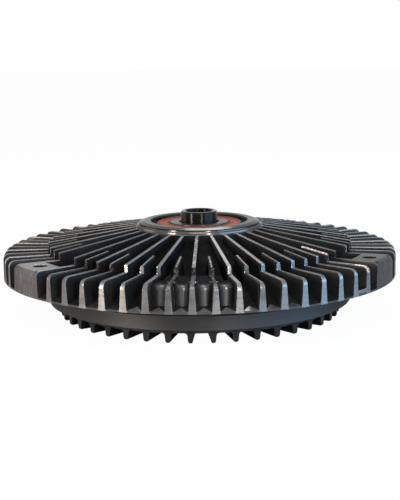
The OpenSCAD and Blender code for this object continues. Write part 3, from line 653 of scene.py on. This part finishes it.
def make_housing_finish():
    """Black paint over sand-cast aluminium, cut through to ringed bare metal where turned."""
    material, tree, shader = new_finish("turned_cast_housing")
    faces = find_turned_faces(tree)
    lines = use_group(tree, lathe_lines, Pitch=HOUSING_LINE_PITCH)
    marks = use_group(tree, stains, Size=HOUSING_STAIN_SIZE, Amount=HOUSING_STAINS)["Mask"]
    skin = use_group(tree, cast_skin, Grain=SAND_GRAIN)
    chance = add_node(tree, "ShaderNodeTexWhiteNoise")
    chance.noise_dimensions = "1D"
    put(tree, chance.inputs["W"], faces["fin"])

    cut = faces["tops"]
    for name in ("rim", "step", "skirt", "hub", "floor"):
        cut = calc(tree, "MAXIMUM", cut, faces[name])
    tone = calc(tree, "MULTIPLY", lines["Tone"], HOUSING_LINE_SHARE)
    metal = blend_colour(tree, tone, BARE_ALUMINIUM, DULL_ALUMINIUM)
    uneven = calc(tree, "MULTIPLY", all_of(tree, marks, chance.outputs["Value"]), UNEVEN_SHARE)
    brushed = all_of(tree, faces["lug"], brush_strokes(tree))
    metal = blend_colour(tree, calc(tree, "MAXIMUM", uneven, brushed), metal, DULL_ALUMINIUM)
    for name, colour, share in FACE_METALS:
        metal = blend_colour(tree, calc(tree, "MULTIPLY", faces[name], share), metal, colour)
    dust = calc(tree, "MULTIPLY", skin["Dust"], DUST_SHARE)
    paint = blend_colour(tree, dust, BLACK_PAINT_AND_SHADE, GREY_DUST)
    paint = blend_colour(tree, faces["skimmed"], paint, RUBBED_PAINT)
    put(tree, shader.inputs["Base Color"], blend_colour(tree, cut, paint, metal))
    put(tree, shader.inputs["Metallic"], cut)

    normal = tree.nodes.new("ShaderNodeTexCoord").outputs["Normal"]
    facing_z = add_node(tree, "ShaderNodeSeparateXYZ", Vector=normal).outputs["Z"]
    upright = fade(tree, calc(tree, "ABSOLUTE", facing_z), *UPRIGHT_RANGE)
    roughness = blend_value(tree, lines["Tone"], *SIDE_ROUGHNESS)
    roughness = blend_value(tree, upright, TOP_ROUGHNESS, roughness)
    for name, value in FACE_ROUGHNESS.items():
        roughness = blend_value(tree, faces[name], roughness, value)
    roughness = blend_value(tree, cut, PAINT_ROUGHNESS, roughness)
    put(tree, shader.inputs["Roughness"], roughness)
    painted = all_of(tree, upright, faces["glossy"], none_of(tree, cut))
    put(tree, shader.inputs["Coat Weight"], calc(tree, "MULTIPLY", painted, PAINT_GLOSS))

    ridges = calc(tree, "MULTIPLY", lines["Height"], LINE_RELIEF)
    height = blend_value(tree, cut, calc(tree, "MULTIPLY", skin["Height"], SAND_RELIEF), ridges)
    put(tree, shader.inputs["Normal"], bumped(tree, height, RELIEF_HEIGHT, strength=0.6))
    shader.inputs["Specular IOR Level"].default_value = 0.0
    shader.inputs["Specular Tint"].default_value = EDGE_TINT
    shader.inputs["Coat Roughness"].default_value = GLOSS_ROUGHNESS
    shader.inputs["Coat IOR"].default_value = GLOSS_IOR
    stretch_glints(tree, shader, HOUSING_STRETCH)
    return material


def break_edges(node_name):
    """Breaks the sharp edges of a solid, as tumbling and handling do."""
    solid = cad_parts[node_name]
    solid.modifiers.new("joined faces", "WELD").merge_threshold = JOIN_DISTANCE
    flat = solid.modifiers.new("whole flats", "DECIMATE")
    flat.decimate_type = "DISSOLVE"
    flat.angle_limit = FLAT_ANGLE
    bevel = solid.modifiers.new("broken edges", "BEVEL")
    bevel.width = EDGE_BREAK
    bevel.segments = 2
    bevel.limit_method = "ANGLE"
    bevel.angle_limit = SHARP_ANGLE
    bevel.use_clamp_overlap = False
    bevel.miter_outer = "MITER_ARC"
    solid.modifiers.new("even shading", "WEIGHTED_NORMAL").keep_sharp = True


dress(make_housing_finish(), "housing")
break_edges("housing")

# Fluid rotor
# A turned aluminium disc with annular lands, pressed on the inner end of the shaft. The fluid
# between its lands and the housing's carries the drive.
ROTOR_ALUMINIUM = (0.5, 0.5, 0.505, 1)
ROTOR_LINE_PITCH = 0.25 * MM

rotor_finish = turned_metal(
    "turned_rotor_aluminium", ROTOR_ALUMINIUM, ROTOR_LINE_PITCH, roughness=0.3,
)
dress(rotor_finish, "rotor_disc")

# Pump plate
# A steel sheet between the working chamber and the reservoir, with two moulded wipers on its
# drive side, riveted to the cover. The valve arm that covers its holes is of the same sheet.
PLATE_STEEL = (0.42, 0.42, 0.41, 1)
PLATE_LINE_PITCH = 0.9 * MM
WIPER_POLYMER = (0.42, 0.36, 0.24, 1)
WIPER_DUSTY = (0.3, 0.26, 0.18, 1)
WIPER_DUST_SIZE = 2 * MM

plate_finish = turned_metal("rolled_plate_steel", PLATE_STEEL, PLATE_LINE_PITCH, roughness=0.3)
wiper_finish = moulded_rubber("wiper_polymer", WIPER_POLYMER, WIPER_DUSTY, WIPER_DUST_SIZE)
dress(plate_finish, "pump_plate", "valve_arm")
dress(wiper_finish, "pump_wipers")

# Front cover
# A second finned aluminium casting, painted black all over, rolled into the housing's skirt on a
# rubber ring. The part stands on its fins, so their tips are a little rubbed.
COVER_PAINT = (0.006, 0.006, 0.0066, 1)
COVER_DUST = (0.013, 0.013, 0.013, 1)
COVER_RUBBED = (0.022, 0.022, 0.0225, 1)
COVER_DUST_SHARE = 0.6
COVER_ROUGHNESS = (0.38, 0.52)
COVER_RELIEF = 0.08 * MM
COVER_FIN_R = 69.3 * MM
COVER_END_EDGE = (-0.5 * MM, -0.1 * MM)
COVER_END_GLOSS = 0.3
COVER_GLOSS_ROUGHNESS = 0.35
COVER_TIP_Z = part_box("front_cover")[0][2]
TIP_WEAR = (0.9 * MM, 0.3 * MM)
TIP_WEAR_UNEVEN = 0.8 * MM
BLACK_RUBBER = (0.018, 0.018, 0.018, 1)
DUSTY_RUBBER = (0.04, 0.04, 0.04, 1)
RUBBER_DUST_SIZE = 4 * MM


def make_cover_finish():
    """Black paint over sand-cast aluminium, rubbed on the fins' tips and glossy on their ends."""
    material, tree, shader = new_finish("black_cast_cover")
    _, radius, z, _ = place_on_part(tree)
    skin = use_group(tree, cast_skin, Grain=SAND_GRAIN)
    worn_z = calc(tree, "ADD", z, calc(tree, "MULTIPLY", skin["Height"], TIP_WEAR_UNEVEN))
    rubbed = fade(tree, worn_z, *(COVER_TIP_Z + height for height in TIP_WEAR))
    dust = calc(tree, "MULTIPLY", skin["Dust"], COVER_DUST_SHARE)
    paint = blend_colour(tree, dust, COVER_PAINT, COVER_DUST)
    put(tree, shader.inputs["Base Color"], blend_colour(tree, rubbed, paint, COVER_RUBBED))
    put(tree, shader.inputs["Roughness"], blend_value(tree, skin["Dust"], *COVER_ROUGHNESS))
    put(tree, shader.inputs["Normal"], bumped(tree, skin["Height"], COVER_RELIEF, strength=0.6))
    fin_ends = fade(tree, radius, *(COVER_FIN_R + edge for edge in COVER_END_EDGE))
    put(tree, shader.inputs["Coat Weight"], calc(tree, "MULTIPLY", fin_ends, COVER_END_GLOSS))
    shader.inputs["Specular IOR Level"].default_value = 0.0
    shader.inputs["Coat Roughness"].default_value = COVER_GLOSS_ROUGHNESS
    return material


rubber_finish = moulded_rubber("black_rubber", BLACK_RUBBER, DUSTY_RUBBER, RUBBER_DUST_SIZE)
dress(make_cover_finish(), "front_cover")
dress(rubber_finish, "cover_seal", "valve_shaft_seal")

# Valve shaft
# A turned steel pin through the cover, slotted for the coil's inner end. The valve arm is fixed
# to its other end.
PIN_STEEL = (0.3, 0.3, 0.305, 1)
PIN_LINE_PITCH = 0.1 * MM

dress(turned_metal("valve_shaft_steel", PIN_STEEL, PIN_LINE_PITCH, roughness=0.24), "valve_shaft")

# Bimetal coil
# A flat strip of two bonded metals wound in a spiral. Its inner end sits in the valve shaft's slot
# and its outer end in the cover's post, so it turns the valve as it warms.
BIMETAL = (0.42, 0.31, 0.16, 1)
BIMETAL_LINE_PITCH = 0.2 * MM
COIL_INNER_R = 4.9 * MM
COIL_PITCH = 2.1 * MM
COIL_TURNS = 5
COIL_OUTER_R = COIL_INNER_R + COIL_PITCH * COIL_TURNS
COIL_TAIL_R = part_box("bimetal_coil")[1][0]
COIL_T = 0.9 * MM
COIL_EDGE = 0.2 * MM
COIL_EDGE_STEPS = 3
COIL_BEND = 1.1 * MM
COIL_BEND_STEPS = 5
COIL_BEND_DEGREES = 12
COIL_STEP_DEGREES = 4
COIL_CREASE = math.radians(50)


def coil_path():
    """The strip's middle line: out of the shaft's slot, round the spiral and into the post."""
    def on_spiral(degrees):
        turn = math.radians(degrees)
        radius = COIL_INNER_R + COIL_PITCH * degrees / 360
        return Vector((radius * math.cos(turn), radius * math.sin(turn)))

    def bend(start, corner, end):
        parts = [step / COIL_BEND_STEPS for step in range(COIL_BEND_STEPS + 1)]
        return [start.lerp(corner, t).lerp(corner.lerp(end, t), t) for t in parts]

    end = 360 * COIL_TURNS
    step = COIL_STEP_DEGREES
    slot, post = Vector((COIL_INNER_R, 0)), Vector((COIL_OUTER_R, 0))
    lead = Vector((COIL_BEND, 0))
    first = bend(slot - lead, slot, on_spiral(COIL_BEND_DEGREES))
    last = bend(on_spiral(end - step), post, post + lead)
    angles = range(COIL_BEND_DEGREES + step, end - 2 * step, step)
    turns = [on_spiral(degrees) for degrees in angles]
    return [Vector((0, 0))] + first + turns + last + [Vector((COIL_TAIL_R, 0))]


def coil_section():
    """The strip's section, with its edges rounded by rolling: offset to one side, and height."""
    low, high = (corner[2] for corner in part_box("bimetal_coil"))
    side, bottom, top = COIL_T / 2 - COIL_EDGE, low + COIL_EDGE, high - COIL_EDGE
    corners = ((side, top), (-side, top), (-side, bottom), (side, bottom))
    parts = [step / COIL_EDGE_STEPS for step in range(COIL_EDGE_STEPS + 1)]
    return [
        (offset + COIL_EDGE * math.cos(turn), z + COIL_EDGE * math.sin(turn))
        for quarter, (offset, z) in enumerate(corners)
        for turn in (math.pi / 2 * (quarter + part) for part in parts)
    ]


def make_coil():
    """Draws the strip's section along its path."""
    path, section = coil_path(), coil_section()
    count = len(section)
    vertices, faces = [], []
    for index, point in enumerate(path):
        along = (path[min(index + 1, len(path) - 1)] - path[max(index - 1, 0)]).normalized()
        side = Vector((along.y, -along.x))
        vertices += [
            (point.x + side.x * offset, point.y + side.y * offset, z) for offset, z in section
        ]
        if index:
            this, before = index * count, (index - 1) * count
            faces += [
                (before + i, this + i, this + (i + 1) % count, before + (i + 1) % count)
                for i in range(count)
            ]
    faces += [tuple(range(count)), tuple(reversed(range(len(vertices) - count, len(vertices))))]
    mesh = bpy.data.meshes.new("bimetal_coil_strip")
    mesh.from_pydata(vertices, [], faces)
    mesh.shade_smooth()
    mesh.set_sharp_from_angle(angle=COIL_CREASE)
    coil = bpy.data.objects.new("bimetal_coil_strip", mesh)
    bpy.context.scene.collection.objects.link(coil)
    finish = turned_metal(
        "bimetal_strip", BIMETAL, BIMETAL_LINE_PITCH, roughness=0.3, stain_amount=0.7,
    )
    mesh.materials.append(finish)
    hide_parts("bimetal_coil")
    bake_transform(coil)


make_coil()

# Floor, light and camera
# A pale floor that keeps the shadow, under a white sky. A warm lamp on the left, a narrow white
# one in front and a cool one on the right draw streaks on the metal; two more are above and behind.
FLOOR_Z = cad_box[0][2]
FLOOR_SIZE = 8
FLOOR_PALE = (0.9, 0.9, 0.9, 1)
FLOOR_ROUGHNESS = 0.9
FLOOR_GLOW = 0.97
WHITE = (1, 1, 1, 1)
SKY_LIGHT = 0.4
LAMP_DISTANCE = 0.7
WARM_LIGHT = (1.0, 0.86, 0.76)
WARM_DIM_LIGHT = (1.0, 0.8, 0.72)
PLAIN_LIGHT = (1.0, 0.98, 0.96)
COOL_LIGHT = (0.32, 0.64, 1.0)
LAMPS = (
    # name, degrees to the right of the camera, degrees up, size in metres, brightness, colour
    ("warm_left_lamp", -49, 10, (0.1, 0.3), 56, WARM_LIGHT),
    ("dim_left_lamp", -104, 10, (0.36, 0.3), 4, WARM_DIM_LIGHT),
    ("white_lamp", 17, 10, (0.04, 0.3), 60, PLAIN_LIGHT),
    ("cool_right_lamp", 66, 10, (0.8, 0.3), 8.5, COOL_LIGHT),
    ("top_lamp", 0, 55, (0.3, 0.3), 5.5, PLAIN_LIGHT),
    ("back_lamp", 176, 45, (0.18, 0.18), 9, PLAIN_LIGHT),
)
CAMERA_AZIMUTH = math.radians(-4)
CAMERA_ELEVATION = math.radians(10)
CAMERA_DISTANCE = 604.5 * MM
CAMERA_ROLL = math.radians(-0.75)
CAMERA_AIM = (0.25 * MM, -2.45 * MM)
CAMERA_NEAREST = 10 * MM
SENSOR_MM = 36
FOCAL_PX = 1209
PHOTO_LONG_SIDE_PX = 500


def seen_directly(tree):
    """1 where the camera, metal or glass sees the background, 0 for light falling on the part."""
    path = tree.nodes.new("ShaderNodeLightPath")
    seen = calc(tree, "MAXIMUM", path.outputs["Is Camera Ray"], path.outputs["Is Glossy Ray"])
    return calc(tree, "MAXIMUM", seen, path.outputs["Is Transmission Ray"])


def make_floor():
    """A pale floor, white to the camera and to metal, darker where the part shades it."""
    bpy.ops.mesh.primitive_plane_add(size=FLOOR_SIZE, location=(0, 0, FLOOR_Z))
    floor = bpy.context.object
    floor.name = "floor"
    material, tree, shader = new_finish("pale_floor")
    shader.inputs["Base Color"].default_value = FLOOR_PALE
    shader.inputs["Roughness"].default_value = FLOOR_ROUGHNESS
    glow = add_node(tree, "ShaderNodeEmission", Color=WHITE, Strength=1.0)
    mix = tree.nodes.new("ShaderNodeMixShader")
    put(tree, mix.inputs[0], calc(tree, "MULTIPLY", seen_directly(tree), FLOOR_GLOW))
    tree.links.new(shader.outputs[0], mix.inputs[1])
    tree.links.new(glow.outputs[0], mix.inputs[2])
    tree.links.new(mix.outputs[0], tree.nodes["Material Output"].inputs["Surface"])
    floor.data.materials.append(material)


def make_sky():
    """White to the camera and to metal, and a plain soft light for everything else."""
    world = bpy.data.worlds.new("studio")
    bpy.context.scene.world = world
    world.use_nodes = True
    tree = world.node_tree
    background = tree.nodes["Background"]
    background.inputs["Color"].default_value = WHITE
    strength = blend_value(tree, seen_directly(tree), SKY_LIGHT, 1.0)
    put(tree, background.inputs["Strength"], strength)


def outward(azimuth, elevation):
    """The direction from the part to a place round it: azimuth 0 is its front."""
    level = math.cos(elevation)
    return Vector((math.sin(azimuth) * level, -math.cos(azimuth) * level, math.sin(elevation)))


def add_lamp(name, to_the_right, up, size, brightness, colour):
    """A soft box that looks at the part; brightness is what a mirror would show of it."""
    lamp = bpy.data.lights.new(name, "AREA")
    lamp.shape = "RECTANGLE"
    lamp.size, lamp.size_y = size
    lamp.energy = brightness * math.pi * size[0] * size[1]
    lamp.color = colour
    turn = CAMERA_AZIMUTH + math.radians(to_the_right)
    place = LAMP_DISTANCE * outward(turn, math.radians(up))
    holder = bpy.data.objects.new(name, lamp)
    holder.location = place
    holder.rotation_mode = "QUATERNION"
    holder.rotation_quaternion = (-place).to_track_quat("-Z", "Y")
    bpy.context.scene.collection.objects.link(holder)


def make_camera():
    """Stands where the photograph was taken from."""
    camera = bpy.data.cameras.new("camera")
    camera.sensor_width = SENSOR_MM
    camera.lens = SENSOR_MM * FOCAL_PX / PHOTO_LONG_SIDE_PX
    camera.clip_start = CAMERA_NEAREST
    holder = bpy.data.objects.new("camera", camera)
    back = outward(CAMERA_AZIMUTH, CAMERA_ELEVATION)
    right = Vector((0, 0, 1)).cross(back).normalized()
    up = back.cross(right)
    aim = right * CAMERA_AIM[0] + up * CAMERA_AIM[1]
    place = back * CAMERA_DISTANCE
    holder.location = place
    holder.rotation_mode = "QUATERNION"
    facing = (aim - place).to_track_quat("-Z", "Y")
    holder.rotation_quaternion = facing @ Quaternion((0, 0, 1), CAMERA_ROLL)
    bpy.context.scene.collection.objects.link(holder)
    bpy.context.scene.camera = holder


make_floor()
make_sky()
for lamp_facts in LAMPS:
    add_lamp(*lamp_facts)
make_camera()
bpy.context.scene.view_settings.view_transform = "Standard"
